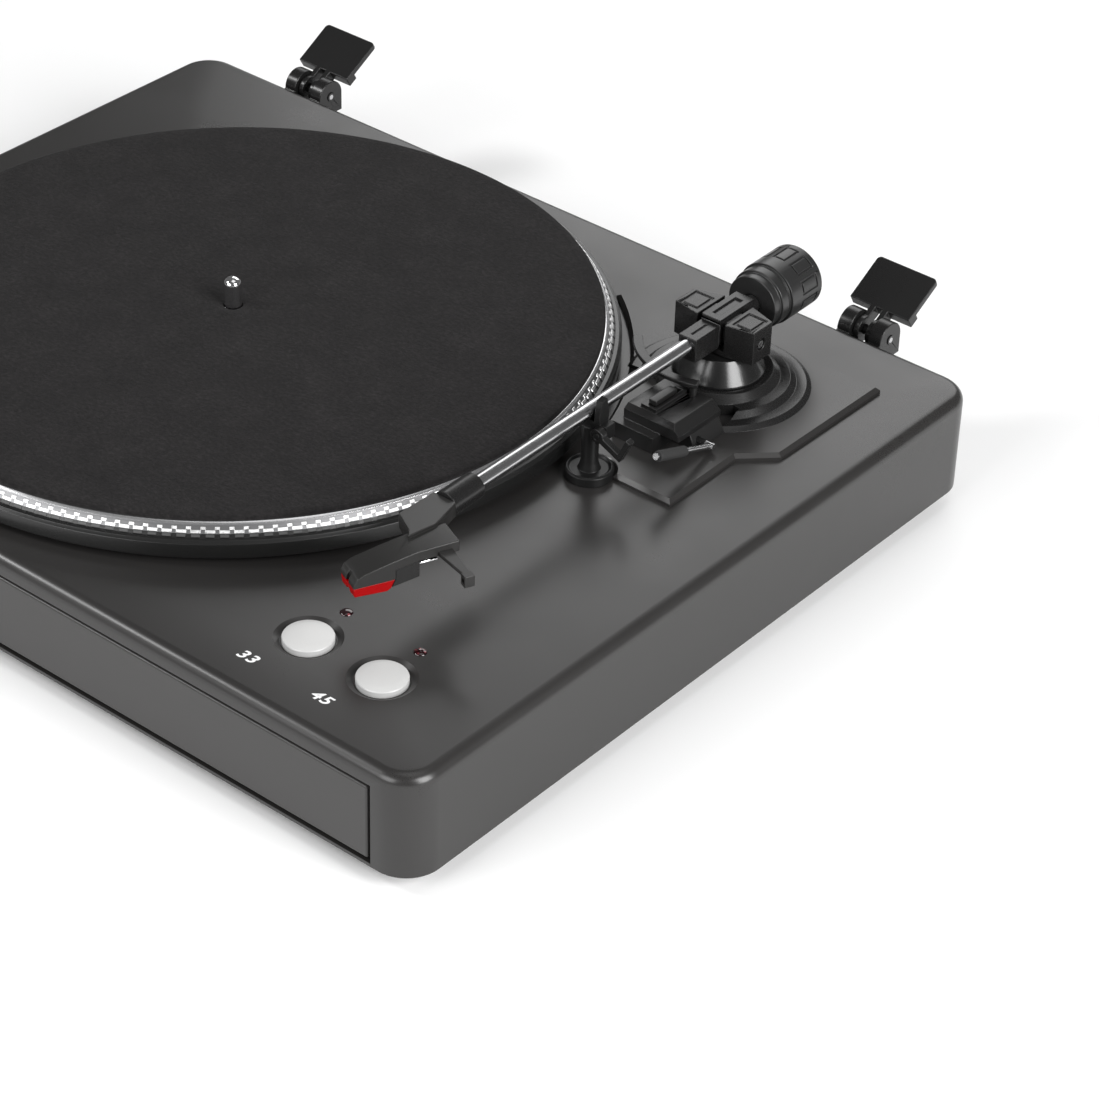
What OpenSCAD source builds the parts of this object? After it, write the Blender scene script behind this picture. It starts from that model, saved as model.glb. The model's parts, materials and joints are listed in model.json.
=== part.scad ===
// Turntable record player: a belt-driven platter on a low plinth, with a straight tonearm,
// a cueing lift, two speed buttons and a pair of dust-cover hinges.
// +X is to the right, +Y to the back and +Z up. The origin is on the surface that the feet
// stand on, below the middle of the whole outline.

/* [Plinth] */
// Width of the plinth
plinth_w = 430; // [424:1:450]
// Depth of the plinth
plinth_d = 340; // [336:1:360]
// Height of the plinth without its feet
plinth_h = 44; // [42:1:50]
// Radius of the upright corners
corner_r = 15; // [12:1:20]
// Radius of the rounded top edge
edge_r = 5; // [3:0.5:7]
// Thickness of the side walls
wall_t = 4; // [3:0.5:5]
// Thickness of the deck
deck_t = 3; // [3:0.5:4]
// Height of the feet below the plinth
foot_h = 8; // [6:1:12]
// Radius of a foot where it meets the plinth
foot_r = 18; // [14:1:22]
// How far the foot centres stand in from the plinth's sides
foot_inset = 45; // [40:1:60]
// Height of the raised area that carries the tonearm
raised_h = 2.8; // [2:0.2:4]

/* [Front panel] */
// Width of the inset front panel
panel_w = 392; // [380:1:396]
// Height of the inset front panel
panel_h = 33.5; // [30:0.5:34]
// Thickness of the front panel
panel_t = 3; // [2:0.5:4]
// Gap all round the front panel
panel_gap = 0.6; // [0.6:0.1:1.4]

/* [Platter] */
// Distance of the spindle from the plinth's right side
spindle_from_right = 243; // [238:1:246]
// Distance of the spindle from the plinth's front
spindle_from_front = 165.5; // [163:0.5:168]
// Outer radius of the platter's skirt
platter_r = 156; // [154:0.5:157]
// Radius of the platter's top disc
disc_r = 150.3; // [150:0.1:151]
// Radius of the slip mat
mat_r = 149.2; // [147:0.1:149.5]
// Thickness of the slip mat
mat_t = 2; // [1.5:0.5:3]
// Gap between the deck and the platter
platter_gap = 3.1; // [2.5:0.1:4]
// Height of the platter from its lower edge to its top
platter_h = 12.1; // [11.5:0.1:13]
// Diameter of the spindle, which fits a record's centre hole
spindle_dia = 7.2; // [7.1:0.05:7.25]
// How far the spindle stands above the slip mat
spindle_rise = 12.5; // [10:0.5:15]

/* [Drive] */
// Radius of the platter's inner drive ring
drive_r = 75; // [70:1:80]
// Radius of the motor pulley
pulley_r = 6; // [5:0.5:7]
// Distance from the spindle to the motor shaft
motor_reach = 104; // [100:1:110]
// Direction of the motor from the spindle, in degrees from +X
motor_angle = 150; // [140:1:160]
// Width of the drive belt
belt_w = 5; // [4:0.5:6]
// Thickness of the drive belt
belt_t = 0.8; // [0.6:0.1:1]

/* [Tonearm] */
// Pivot to the right of the spindle
pivot_dx = 166; // [164:0.5:168]
// Pivot behind the spindle
pivot_dy = 103.5; // [102:0.5:105]
// Resting direction of the arm, in degrees from straight ahead
arm_yaw = 0.8; // [0:0.1:2]
// Height of the arm tube above the slip mat
arm_rise = 12.8; // [12:0.2:14]
// Outer diameter of the arm tube
tube_dia = 6; // [5.5:0.1:6.5]
// Distance from the pivot to the end of the arm tube
tube_reach = 160; // [156:1:164]
// Offset angle of the headshell
offset_deg = 24.7; // [23:0.1:26]
// Radius of the counterweight
weight_r = 13.2; // [12:0.2:15]
// Length of the counterweight's barrel
weight_l = 22; // [18:1:26]
// Distance of the arm rest from the pivot
rest_reach = 82; // [80:1:84]

/* [Controls] */
// Diameter of a speed button
button_dia = 19.2; // [18:0.2:21]
// Distance between the two speed buttons
button_pitch = 35.5; // [34:0.5:38]
// Travel of a speed button
button_travel = 1.2; // [0.8:0.1:1.4]

/* [Dust-cover hinges] */
// Distance of a hinge from the plinth's middle
hinge_x = 155.5; // [145:0.5:165]
// Width of a hinge flap
flap_w = 29.5; // [26:0.5:32]
// Distance from the hinge pin to the flap's free edge
flap_reach = 31.5; // [28:0.5:34]
// Resting tilt of a flap above the horizontal, in degrees
flap_tilt = 30; // [26:1:34]

/* [Hidden] */
fine = 96;
eps = 0.01;
fit_gap = 0.05;
loose_gap = 0.3;

// Levels, from the floor up
deck_z = foot_h + plinth_h;
raised_z = deck_z + raised_h;
cavity_z = deck_z - deck_t;
cover_t = 2.5;
platter_z = deck_z + platter_gap;
platter_top = platter_z + platter_h;
mat_top = platter_top + mat_t;
arm_z = mat_top + arm_rise;
gimbal_z = arm_z - 2;

// Hinge pin, behind the plinth
hinge_gap = 8;
pin_z = deck_z - 2.3;
pin_r = 2;
flap_t = 2.6;
flap_drop = 1;
overhang = hinge_gap + flap_reach * cos(flap_tilt) - flap_drop * sin(flap_tilt);

// Outline in plan
front_y = -(plinth_d + overhang) / 2;
rear_y = front_y + plinth_d;
plinth_y = front_y + plinth_d / 2;
right_x = plinth_w / 2;
spin_x = right_x - spindle_from_right;
spin_y = front_y + spindle_from_front;
motor_x = spin_x + motor_reach * cos(motor_angle);
motor_y = spin_y + motor_reach * sin(motor_angle);
tube_r = tube_dia / 2;
spindle_r = spindle_dia / 2;
shaft_r = spindle_r - 0.6;

// Platter rings
strobe_h = 4;
skirt_h = 7.3;
top_t = 4;
drive_wall = 2.5;
belt_z = platter_z + 1.2;

// Gimbal, headshell and counterweight, along the arm
yoke_z = gimbal_z - 7.5;
yoke_top = arm_z + 5;
tower_in = 6.7;
tower_out = 19.3;
collar_start = 150.5;
shell_back = 180.4;
shell_side = 15.1;
shell_w = 12.1;
shell_top = mat_top + 15;
stub_end = 46;
dial_front = 20;
weight_front = 28.6;

// Lift housing, measured from the pivot
lift_left = -5;
lift_right = 22;
lift_front = -54;
lift_back = -27.5;
lift_z = mat_top - 1.5;
lift_r_in = 30.5;
lift_r_out = 34.5;
bar_t = 1.8;
bar_top = mat_top + 4.5;
plunger_angle = 289;
cue_x = 28.6;
cue_y = -42;
cue_z = raised_z + 2.7;
cue_tilt = 19.5;
cue_l = 37;

// Speed buttons and their lamps, measured from the spindle
button_dx = 158.6;
button_dy = -125.5;
lamp_dy = 20;
lamp_r = 2.5;
board_z = cavity_z - 14;
board_t = 1.6;
cap_h = 7;

// Jacks on the rear wall
jack_z = foot_h + 22;
rca_x = [-132, -114];
post_x = -96;
switch_x = -76;
dc_x = -54;
switch_w = 9;
switch_h = 4.4;

// A box between two corners
module block(low, high) {
    translate(low) cube(high - low);
}

// A rectangle with true round corners, centred
module round_rect(w, d, r) {
    square([w - 2 * r, d], center = true);
    square([w, d - 2 * r], center = true);
    for (sx = [-1, 1], sy = [-1, 1])
        translate([sx * (w / 2 - r), sy * (d / 2 - r)]) circle(r, $fn = fine);
}

// A tube or a ring standing on z = 0
module ring(r_out, r_in, h) {
    difference() {
        cylinder(r = r_out, h = h, $fn = fine);
        translate([0, 0, -1]) cylinder(r = r_in, h = h + 2, $fn = fine);
    }
}

// A profile drawn in Y and Z, carried along X and centred
module along_x(w) {
    rotate([90, 0, 90]) linear_extrude(w, center = true) children();
}

// A profile drawn in X and Z, carried along Y and centred
module along_y(d) {
    rotate([90, 0, 0]) linear_extrude(d, center = true) children();
}

// A rod along Y from y0 to y1
module rod_y(r, y0, y1) {
    translate([0, y1, 0]) rotate([90, 0, 0]) cylinder(r = r, h = y1 - y0, $fn = fine);
}

// A rod along X from x0 to x1
module rod_x(r, x0, x1) {
    translate([x0, 0, 0]) rotate([0, 90, 0]) cylinder(r = r, h = x1 - x0, $fn = fine);
}

module at_spindle() {
    translate([spin_x, spin_y, 0]) children();
}

module at_pivot() {
    translate([spin_x + pivot_dx, spin_y + pivot_dy, 0]) children();
}

// The arm's own frame: -Y runs from the pivot to the headshell
module in_arm() {
    at_pivot() rotate([0, 0, arm_yaw]) children();
}

// The headshell's own frame: -Y runs from its rear edge to the stylus
module in_shell() {
    in_arm() translate([shell_side, -shell_back, 0]) rotate([0, 0, -offset_deg]) children();
}

module at_jack(x) {
    translate([x, rear_y, jack_z]) children();
}

module at_hinge(side) {
    translate([side * hinge_x, rear_y + hinge_gap, pin_z]) children();
}

// Four places set in from the sides, for feet and screws
module at_corners(inset) {
    for (sx = [-1, 1], sy = [-1, 1])
        translate([sx * (right_x - inset), plinth_y + sy * (plinth_d / 2 - inset), 0]) children();
}

// A slab with upright round corners and a rounded top edge
module soft_slab(w, d, h, r, e) {
    linear_extrude(h - e) round_rect(w, d, r);
    linear_extrude(h) round_rect(w - 2 * e, d - 2 * e, r - e);
    for (sy = [-1, 1])
        translate([0, sy * (d / 2 - e), h - e]) rod_x(e, -(w / 2 - r), w / 2 - r);
    for (sx = [-1, 1])
        translate([sx * (w / 2 - e), 0, h - e]) rod_y(e, -(d / 2 - r), d / 2 - r);
    for (sx = [-1, 1], sy = [-1, 1])
        translate([sx * (w / 2 - r), sy * (d / 2 - r), h - e])
            rotate_extrude($fn = fine) translate([r - e, 0]) intersection() {
                circle(e, $fn = fine);
                translate([0, -e]) square([e, 2 * e]);
            }
}

// Outline of the raised area, seen from the spindle
module raised_outline() {
    difference() {
        polygon([[91, 128], [112, 143.6], [216.6, 143.6], [216, 78.4], [203.4, 66],
            [204, 24.6], [158, 24.6], [150, 14], [120, 60]]);
        circle(platter_r + 3.6, $fn = 2 * fine);
        translate([140, -10]) square([30, 34.6]);
    }
}

// Dish around a button: a shallow cone down to a thin ring
module button_dish() {
    translate([0, 0, deck_z - 1.6])
        cylinder(r1 = button_dia / 2 + 0.8, r2 = button_dia / 2 + 3.3, h = 1.6 + eps, $fn = fine);
    translate([0, 0, cavity_z - 1]) cylinder(r = button_dia / 2 + loose_gap, h = 6, $fn = fine);
}

module at_buttons() {
    for (n = [0, 1])
        at_spindle() translate([button_dx + n * button_pitch, button_dy, 0]) children();
}

// Outline of the space inside the walls, shrunk by a gap
module inner_outline(gap) {
    intersection() {
        round_rect(plinth_w - 2 * (wall_t + gap), plinth_d - 2 * (wall_t + gap),
            corner_r - wall_t - gap);
        translate([-right_x, -plinth_d / 2 + wall_t + panel_t + 1 + gap])
            square([plinth_w, plinth_d]);
    }
}

module plinth() {
    color([0.2, 0.2, 0.2]) difference() {
        union() {
            translate([0, plinth_y, foot_h])
                soft_slab(plinth_w, plinth_d, plinth_h, corner_r, edge_r);
            at_spindle() translate([0, 0, deck_z - 1]) linear_extrude(raised_h + 1)
                raised_outline();
        }
        difference() {
            translate([0, plinth_y, foot_h - 1]) linear_extrude(cavity_z - foot_h + 1)
                inner_outline(0);
            translate([0, 0, foot_h + cover_t]) at_corners(22)
                cylinder(r = 6, h = plinth_h, $fn = fine);
        }
        block([-panel_w / 2 - panel_gap, front_y - 1, panel_z() - panel_gap],
            [panel_w / 2 + panel_gap, front_y + panel_t, panel_z() + panel_h + panel_gap]);
        at_corners(22) cylinder(r = 1.5, h = foot_h + 18, $fn = fine);
        at_spindle() cylinder(r = 9, h = deck_z + 5, $fn = fine);
        translate([motor_x, motor_y, 0]) cylinder(r = 12, h = deck_z + 5, $fn = fine);
        at_pivot() cylinder(r = 5, h = deck_z + 20, $fn = fine);
        in_arm() translate([0, -rest_reach, deck_z]) cylinder(r = 9.6, h = 20, $fn = fine);
        at_buttons() button_dish();
        at_buttons() translate([0, lamp_dy, 0]) cylinder(r = lamp_r, h = deck_z + 5, $fn = fine);
        for (x = rca_x) at_jack(x) rod_y(4.2, -wall_t - 1, 1);
        at_jack(post_x) rod_y(2.1, -wall_t - 1, 1);
        at_jack(dc_x) rod_y(4.6, -wall_t - 1, 1);
        at_jack(switch_x)
            block([-switch_w / 2, -wall_t - 1, -switch_h / 2], [switch_w / 2, 1, switch_h / 2]);
    }
}

function panel_z() = foot_h + 2;

module front_panel() {
    bevel = 1.6;
    color([0.22, 0.22, 0.22]) translate([0, front_y, panel_z()]) difference() {
        block([-panel_w / 2, 0, 0], [panel_w / 2, panel_t, panel_h]);
        for (z = [0, panel_h])
            translate([0, 0, z]) rotate([45, 0, 0])
                block([-panel_w, -bevel / 2, -bevel / 2], [panel_w, bevel / 2, bevel / 2]);
        for (x = [-panel_w / 2, panel_w / 2])
            translate([x, 0, 0]) rotate([0, 0, 45])
                block([-bevel / 2, -bevel / 2, -1], [bevel / 2, bevel / 2, panel_h + 1]);
    }
}

module bottom_cover() {
    color([0.12, 0.12, 0.12]) difference() {
        translate([0, plinth_y, foot_h]) linear_extrude(cover_t) inner_outline(0.3);
        at_corners(22) cylinder(r = 1.7, h = foot_h + cover_t + 1, $fn = fine);
        at_corners(foot_inset) cylinder(r = 2, h = foot_h + cover_t + 1, $fn = fine);
        for (x = [-60 : 12 : 60])
            translate([x, plinth_y - 60, foot_h - 1]) linear_extrude(cover_t + 2)
                round_rect(4, 40, 1.9);
    }
}

// A rubber foot with a lug that plugs into the bottom cover
module foot(sx, sy) {
    color([0.08, 0.08, 0.08])
        translate([sx * (right_x - foot_inset), plinth_y + sy * (plinth_d / 2 - foot_inset), 0])
            rotate_extrude($fn = fine) polygon([[0, 0], [foot_r - 3, 0], [foot_r - 2, 1],
                [foot_r, foot_h], [2, foot_h], [2, foot_h + cover_t + 1], [0, foot_h + cover_t + 1]]);
}

module case_screws() {
    color("silver") at_corners(22) {
        translate([0, 0, foot_h - 1.2]) cylinder(r = 3, h = 1.2, $fn = fine);
        translate([0, 0, foot_h - 0.5]) cylinder(r = 1.5, h = 14, $fn = fine);
    }
}

// A flanged tube that hangs from the deck and holds the spindle's bush
module bearing_housing() {
    color([0.75, 0.75, 0.76]) at_spindle() difference() {
        union() {
            translate([0, 0, foot_h + 8]) cylinder(r = 9, h = deck_z - foot_h - 7, $fn = fine);
            translate([0, 0, cavity_z - 3]) cylinder(r = 20, h = 3, $fn = fine);
        }
        translate([0, 0, foot_h + 12]) cylinder(r = 6, h = deck_z, $fn = fine);
    }
}

module bearing_bush() {
    color([0.78, 0.6, 0.25]) at_spindle() translate([0, 0, foot_h + 12])
        ring(6, shaft_r + fit_gap, deck_z - foot_h - 11);
}

module spindle() {
    dome_h = 3;
    color([0.9, 0.9, 0.9]) at_spindle() {
        translate([0, 0, foot_h + 12.2])
            cylinder(r = shaft_r, h = mat_top - foot_h - 12.2, $fn = fine);
        translate([0, 0, mat_top]) cylinder(r = spindle_r, h = spindle_rise - dome_h, $fn = fine);
        translate([0, 0, mat_top + spindle_rise - dome_h])
            rotate_extrude($fn = fine) intersection() {
                translate([0, -1]) square([spindle_r, dome_h + 1]);
                translate([0, dome_h - spindle_r]) circle(spindle_r, $fn = fine);
            }
    }
}

module platter() {
    skirt_top = platter_z + skirt_h;
    under = platter_top - top_t;
    color([0.55, 0.55, 0.56]) at_spindle() rotate_extrude($fn = 2 * fine)
        polygon([[shaft_r, platter_top], [disc_r - 1, platter_top], [disc_r, platter_top - 0.7],
            [disc_r + 2.9, skirt_top + 0.1], [platter_r - 1.2, skirt_top], [platter_r, skirt_top - 1],
            [platter_r, platter_z + 0.4], [platter_r - 0.4, platter_z], [platter_r - 3, platter_z],
            [platter_r - 3, skirt_top - 3], [disc_r - 3, under], [drive_r, under],
            [drive_r, platter_z], [drive_r - drive_wall, platter_z], [drive_r - drive_wall, under],
            [14, under], [10, platter_z], [shaft_r, platter_z]]);
}

module slip_mat() {
    color([0.1, 0.1, 0.1]) at_spindle() translate([0, 0, platter_top])
        ring(mat_r, spindle_r + 0.15, mat_t);
}

// Outline of a belt run around the drive ring and the pulley, grown outward
module belt_run(grow) {
    a = acos((drive_r - pulley_r) / motor_reach);
    r1 = drive_r + grow;
    r2 = pulley_r + grow;
    rotate(motor_angle) {
        circle(r1, $fn = 2 * fine);
        translate([motor_reach, 0]) circle(r2, $fn = fine);
        polygon([r1 * [cos(a), sin(a)], r1 * [cos(a), -sin(a)],
            [motor_reach, 0] + r2 * [cos(a), -sin(a)], [motor_reach, 0] + r2 * [cos(a), sin(a)]]);
    }
}

module drive_belt() {
    color([0.05, 0.05, 0.05]) at_spindle() translate([0, 0, belt_z]) linear_extrude(belt_w)
        difference() {
            belt_run(loose_gap + belt_t);
            belt_run(loose_gap);
        }
}

module motor_pulley() {
    color([0.8, 0.62, 0.28]) translate([motor_x, motor_y, belt_z - 0.6]) difference() {
        union() {
            cylinder(r = pulley_r, h = belt_w + 1.2, $fn = fine);
            translate([0, 0, -2]) cylinder(r = 3.5, h = 2.5, $fn = fine);
        }
        translate([0, 0, -3]) cylinder(r = 1 + fit_gap, h = belt_w + 3, $fn = fine);
    }
}

module motor() {
    can_h = 20;
    color([0.6, 0.6, 0.62]) translate([motor_x, motor_y, cavity_z - 5 - can_h]) {
        cylinder(r = 15, h = can_h, $fn = fine);
        translate([0, 0, can_h - eps]) cylinder(r = 1, h = 5 + deck_t + 7, $fn = fine);
    }
}

// Steel plate that carries the motor on three rubber grommets under the deck
module motor_plate() {
    color([0.7, 0.7, 0.72]) translate([motor_x, motor_y, cavity_z - 5]) difference() {
        union() {
            cylinder(r = 18, h = 1.5, $fn = fine);
            for (a = [0, 120, 240])
                rotate(a) {
                    translate([24, 0, 0]) cylinder(r = 7, h = 1.5, $fn = fine);
                    block([0, -7, 0], [24, 7, 1.5]);
                }
        }
        translate([0, 0, -1]) cylinder(r = 5, h = 4, $fn = fine);
        for (a = [0, 120, 240])
            rotate(a) translate([24, 0, -1]) cylinder(r = 3.4, h = 4, $fn = fine);
    }
}

module motor_grommets() {
    color([0.1, 0.1, 0.1]) translate([motor_x, motor_y, cavity_z - 5])
        for (a = [0, 120, 240])
            rotate(a) translate([24, 0, 0]) rotate_extrude($fn = fine)
                polygon([[1.6, -2], [5.4, -2], [5.4, 0], [3.4, 0], [3.4, 1.5], [5.4, 1.5], [5.4, 5],
                    [1.6, 5]]);
}

module control_board() {
    color([0.05, 0.35, 0.15]) at_spindle() difference() {
        translate([button_dx - 14, button_dy - 14, board_z]) cube([64, 42, board_t]);
        for (x = [-10, 46])
            translate([button_dx + x, button_dy - 10, board_z - 1])
                cylinder(r = 1.6, h = board_t + 2, $fn = fine);
    }
    color([0.2, 0.2, 0.2]) at_spindle() for (x = [-10, 46])
        translate([button_dx + x, button_dy - 10, board_z + board_t])
            cylinder(r = 2.5, h = cavity_z - board_z - board_t, $fn = fine);
}

module push_switches() {
    color([0.15, 0.15, 0.15]) at_buttons() translate([0, 0, board_z + board_t]) {
        block([-3, -3, 0], [3, 3, 3.5]);
        translate([0, 0, 3.5]) cylinder(r = 1.6, h = 1, $fn = fine);
    }
}

// A domed cap with a flange under the deck and a stem down to its switch
module speed_button(n) {
    cap_top = deck_z + 1.2;
    cap_low = cap_top - cap_h;
    switch_top = board_z + board_t + 4.5;
    color([0.92, 0.92, 0.92]) at_spindle()
        translate([button_dx + n * button_pitch, button_dy, 0])
            rotate_extrude($fn = fine) polygon([[0, switch_top + button_travel + 0.2],
                [2, switch_top + button_travel + 0.2], [2, cap_low],
                [button_dia / 2 + 1.4, cap_low], [button_dia / 2 + 1.4, cavity_z - loose_gap],
                [button_dia / 2, cavity_z - loose_gap], [button_dia / 2, cap_top - 0.6],
                [button_dia / 2 - 0.6, cap_top], [button_dia / 4, cap_top + 0.5], [0, cap_top + 0.6]]);
}

// An indicator lamp on the control board, flush with the deck
module lamp(n) {
    color([0.35, 0.02, 0.03]) at_spindle()
        translate([button_dx + n * button_pitch, button_dy + lamp_dy, board_z + board_t])
            rotate_extrude($fn = fine) polygon([[0, 0], [lamp_r, 0],
                [lamp_r, deck_z - board_z - board_t], [0, deck_z - board_z - board_t + 0.8]]);
}

module jack_board() {
    board_l = dc_x - rca_x[0] + 34;
    color([0.05, 0.35, 0.15])
        block([rca_x[0] - 14, rear_y - wall_t - 34, jack_z - 12],
            [rca_x[0] - 14 + board_l, rear_y - wall_t - 1, jack_z - 12 + board_t]);
    color([0.15, 0.15, 0.15]) for (x = [rca_x[0] - 10, dc_x + 16])
        translate([x, rear_y - wall_t - 20, foot_h + cover_t])
            cylinder(r = 3, h = jack_z - 12 - foot_h - cover_t, $fn = fine);
    color([0.6, 0.6, 0.62]) at_jack(switch_x)
        block([-6, -wall_t - 9, -12 + board_t], [6, -wall_t - 1.2, 4]);
}

// A phono socket: a body behind the wall, a flange and a hollow barrel outside
module rca_socket(n) {
    color(n == 0 ? "white" : [0.7, 0.05, 0.05]) at_jack(rca_x[n]) difference() {
        union() {
            rod_y(4.15, -wall_t - 8, 10);
            rod_y(6.5, eps, 1.6);
            block([-6, -wall_t - 14, -10.4], [6, -wall_t - eps, 6]);
        }
        rod_y(1.65, 1, 11);
    }
}

module ground_post() {
    color("silver") at_jack(post_x) {
        rod_y(2, -wall_t - 6, 9);
        rod_y(4, eps, 1.2);
        rod_y(3.8, 4, 8);
    }
}

module dc_socket() {
    color([0.1, 0.1, 0.1]) at_jack(dc_x) {
        difference() {
            union() {
                rod_y(4.5, -wall_t - 2, 2.5);
                rod_y(6, eps, 1.4);
                block([-5, -wall_t - 12, -10.4], [5, -wall_t - eps, 5]);
            }
            rod_y(2.8, -wall_t - 8, 3);
        }
        rod_y(1, -wall_t - 8.5, 1.5);
    }
}

// The sliding key of the output selector
module line_switch() {
    color([0.1, 0.1, 0.1]) at_jack(switch_x)
        block([-switch_w / 2 + 0.3, -wall_t - 0.8, -switch_h / 2 + 0.3],
            [-switch_w / 2 + 4.3, 1.8, switch_h / 2 - 0.3]);
}

// Stepped cone ring around the pivot, cut away for the lift housing
module tonearm_base() {
    color([0.13, 0.13, 0.13]) at_pivot() difference() {
        rotate_extrude($fn = 2 * fine) polygon([[7, raised_z], [37.2, raised_z],
            [35, raised_z + 1.7], [31, raised_z + 1.9], [28.6, raised_z + 4.2],
            [24.6, raised_z + 4.8], [21.6, raised_z + 7.7], [20, raised_z + 7.8],
            [19, raised_z + 7.4], [7, raised_z + 7.4]]);
        difference() {
            block([-60, -60, raised_z - 1], [lift_right + 0.4, -15.5, raised_z + 20]);
            translate([0, 0, raised_z - 2]) cylinder(r = 24.6, h = 30, $fn = fine);
        }
    }
}

module pivot_cone() {
    cone_z = raised_z + 7.4;
    color([0.07, 0.07, 0.07]) at_pivot() rotate_extrude($fn = fine)
        polygon([[7, cone_z], [18.4, cone_z], [18.4, cone_z + 1], [13, yoke_z - 0.5],
            [7, yoke_z - 0.5]]);
}

module swing_bush() {
    color([0.78, 0.6, 0.25]) at_pivot() translate([0, 0, raised_z])
        ring(7, 4 + fit_gap, yoke_z - 0.5 - raised_z);
}

// U-shaped block that swings on its shaft and holds the two pivot screws
module gimbal_yoke() {
    floor_t = 2.2;
    color([0.1, 0.1, 0.1]) in_arm() {
        difference() {
            translate([0, 0, yoke_z]) linear_extrude(yoke_top - yoke_z) polygon([[-6.7, -7.4],
                [-tower_out, -5], [-tower_out, 7], [-6.7, 11], [6.7, 11], [tower_out, 7],
                [tower_out, -5], [6.7, -7.4]]);
            block([-tower_in, -20, yoke_z + floor_t], [tower_in, 20, yoke_top + 1]);
            for (sx = [-1, 1])
                translate([sx * 13, 0.8, yoke_top - 0.6]) linear_extrude(1) difference() {
                    square([9, 11], center = true);
                    square([6.6, 8.6], center = true);
                }
            translate([0, 0, gimbal_z]) {
                rod_x(1.6, -30, 30);
                rod_x(2.5, tower_out - 1, 30);
                rod_x(2.5, -30, 1 - tower_out);
            }
        }
        translate([0, 0, foot_h + 18]) cylinder(r = 4, h = yoke_z - foot_h - 17.5, $fn = fine);
    }
}

module pivot_screw(sx) {
    color("silver") in_arm() translate([0, 0, gimbal_z]) rotate([0, 0, sx > 0 ? 0 : 180])
        rod_x(1.6, 3.6, tower_out - 0.2);
}

// The tilting bar between the towers, with the nose that grips the arm tube
module arm_carrier() {
    low = gimbal_z - 3;
    color([0.1, 0.1, 0.1]) in_arm() difference() {
        union() {
            block([-4.4, -7.4, low], [4.4, 15.2, arm_z + 6]);
            block([-6.3, -5, low], [6.3, 5, arm_z + 4.4]);
            block([-4.3, -22.5, arm_z - 6.4], [4.3, -7, arm_z + 3.8]);
            translate([0, 0, arm_z]) rod_y(3.8, 15, stub_end);
        }
        block([-1.8, -4, arm_z + 5.2], [1.8, 11, arm_z + 7]);
        block([-0.4, -19.5, arm_z + 3.2], [0.4, -10, arm_z + 4.2]);
        translate([0, 0, arm_z]) rod_y(tube_r, -23, -9);
        for (sx = [-1, 1])
            translate([0, 0, gimbal_z]) rod_x(1.6 + fit_gap, sx > 0 ? 3.4 : -7, sx > 0 ? 7 : -3.4);
    }
}

module arm_tube() {
    color([0.85, 0.85, 0.86]) in_arm() translate([0, 0, arm_z]) difference() {
        rod_y(tube_r, -tube_reach, -9);
        rod_y(tube_r - 0.5, -tube_reach - 1, -8);
    }
}

module headshell_collar() {
    color([0.12, 0.12, 0.12]) in_arm() translate([0, 0, arm_z]) difference() {
        rod_y(5.3, -167, -collar_start);
        rod_y(tube_r, -tube_reach, -collar_start + 1);
    }
}

// Neck block on the collar, then a flat plate that turns down over the cartridge
module headshell() {
    color([0.13, 0.13, 0.13]) {
        in_arm() translate([0, 0, arm_z - 3]) linear_extrude(6.3)
            polygon([[-5.3, -167], [5.3, -167], [8.5, -182], [6, -194], [3.6, -191], [-6, -185.5]]);
        in_shell() difference() {
            along_x(shell_w) polygon([[0, shell_top - 4.5], [0, shell_top], [-16, shell_top - 0.4],
                [-26, shell_top - 2.1], [-36.8, shell_top - 4.4], [-39.4, shell_top - 5.7],
                [-40.8, shell_top - 7.8], [-41, shell_top - 9.7], [-24.6, shell_top - 9.9],
                [-24.6, shell_top - 6], [-16, shell_top - 4.5]]);
            block([-1, -42, shell_top - 11], [1, -39.4, shell_top - 5.2]);
        }
    }
}

module cartridge() {
    color([0.1, 0.1, 0.1]) in_shell() {
        along_x(shell_w - 1.2) polygon([[-15.3, shell_top - 4.6], [-15.3, shell_top - 11.6],
            [-26, shell_top - 13.3], [-24.5, shell_top - 10], [-24.5, shell_top - 6.1],
            [-16, shell_top - 4.6]]);
        translate([0, 0, shell_top - 7]) for (x = [-3.6 : 2.4 : 3.6])
            translate([x, 0, 0]) rod_y(0.6, -15.4, -8);
    }
}

module stylus_holder() {
    color([0.8, 0.05, 0.05]) in_shell() difference() {
        along_x(shell_w - 0.8) polygon([[-24.8, shell_top - 10], [-26.4, shell_top - 13.4],
            [-28, shell_top - 14.3], [-40.5, shell_top - 13.4], [-40.9, shell_top - 9.8]]);
        block([-1.2, -42, shell_top - 16], [1.2, -30.5, shell_top - 12.2]);
    }
}

module cantilever() {
    color("silver") in_shell() {
        translate([0, -30.5, shell_top - 13.3]) rotate([7, 0, 0]) rod_y(0.35, -7, 0);
        translate([0, -36.8, shell_top - 14.6]) cylinder(r1 = 0.1, r2 = 0.45, h = 0.9, $fn = fine);
    }
}

module finger_lift() {
    color([0.12, 0.12, 0.12]) in_shell() difference() {
        union() {
            translate([0, 0, shell_top - 4.4]) linear_extrude(1.7) polygon([[shell_w / 2, -8.4],
                [22.5, -5.6], [22.5, -3.2], [shell_w / 2, -2.6]]);
            block([20.6, -6.4, shell_top - 7.4], [24, -2.4, shell_top - 2.7]);
        }
        block([21.5, -7, shell_top - 6.4], [23.1, -2, shell_top - 4.2]);
    }
}

// Ring in front of the counterweight that shows the tracking force
module force_dial() {
    color([0.08, 0.08, 0.08]) in_arm() translate([0, 0, arm_z]) difference() {
        union() {
            rod_y(11.4, dial_front, dial_front + 5);
            rod_y(12.4, dial_front + 4, weight_front - loose_gap);
        }
        rod_y(3.8 + fit_gap, dial_front - 1, weight_front);
    }
}

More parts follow.
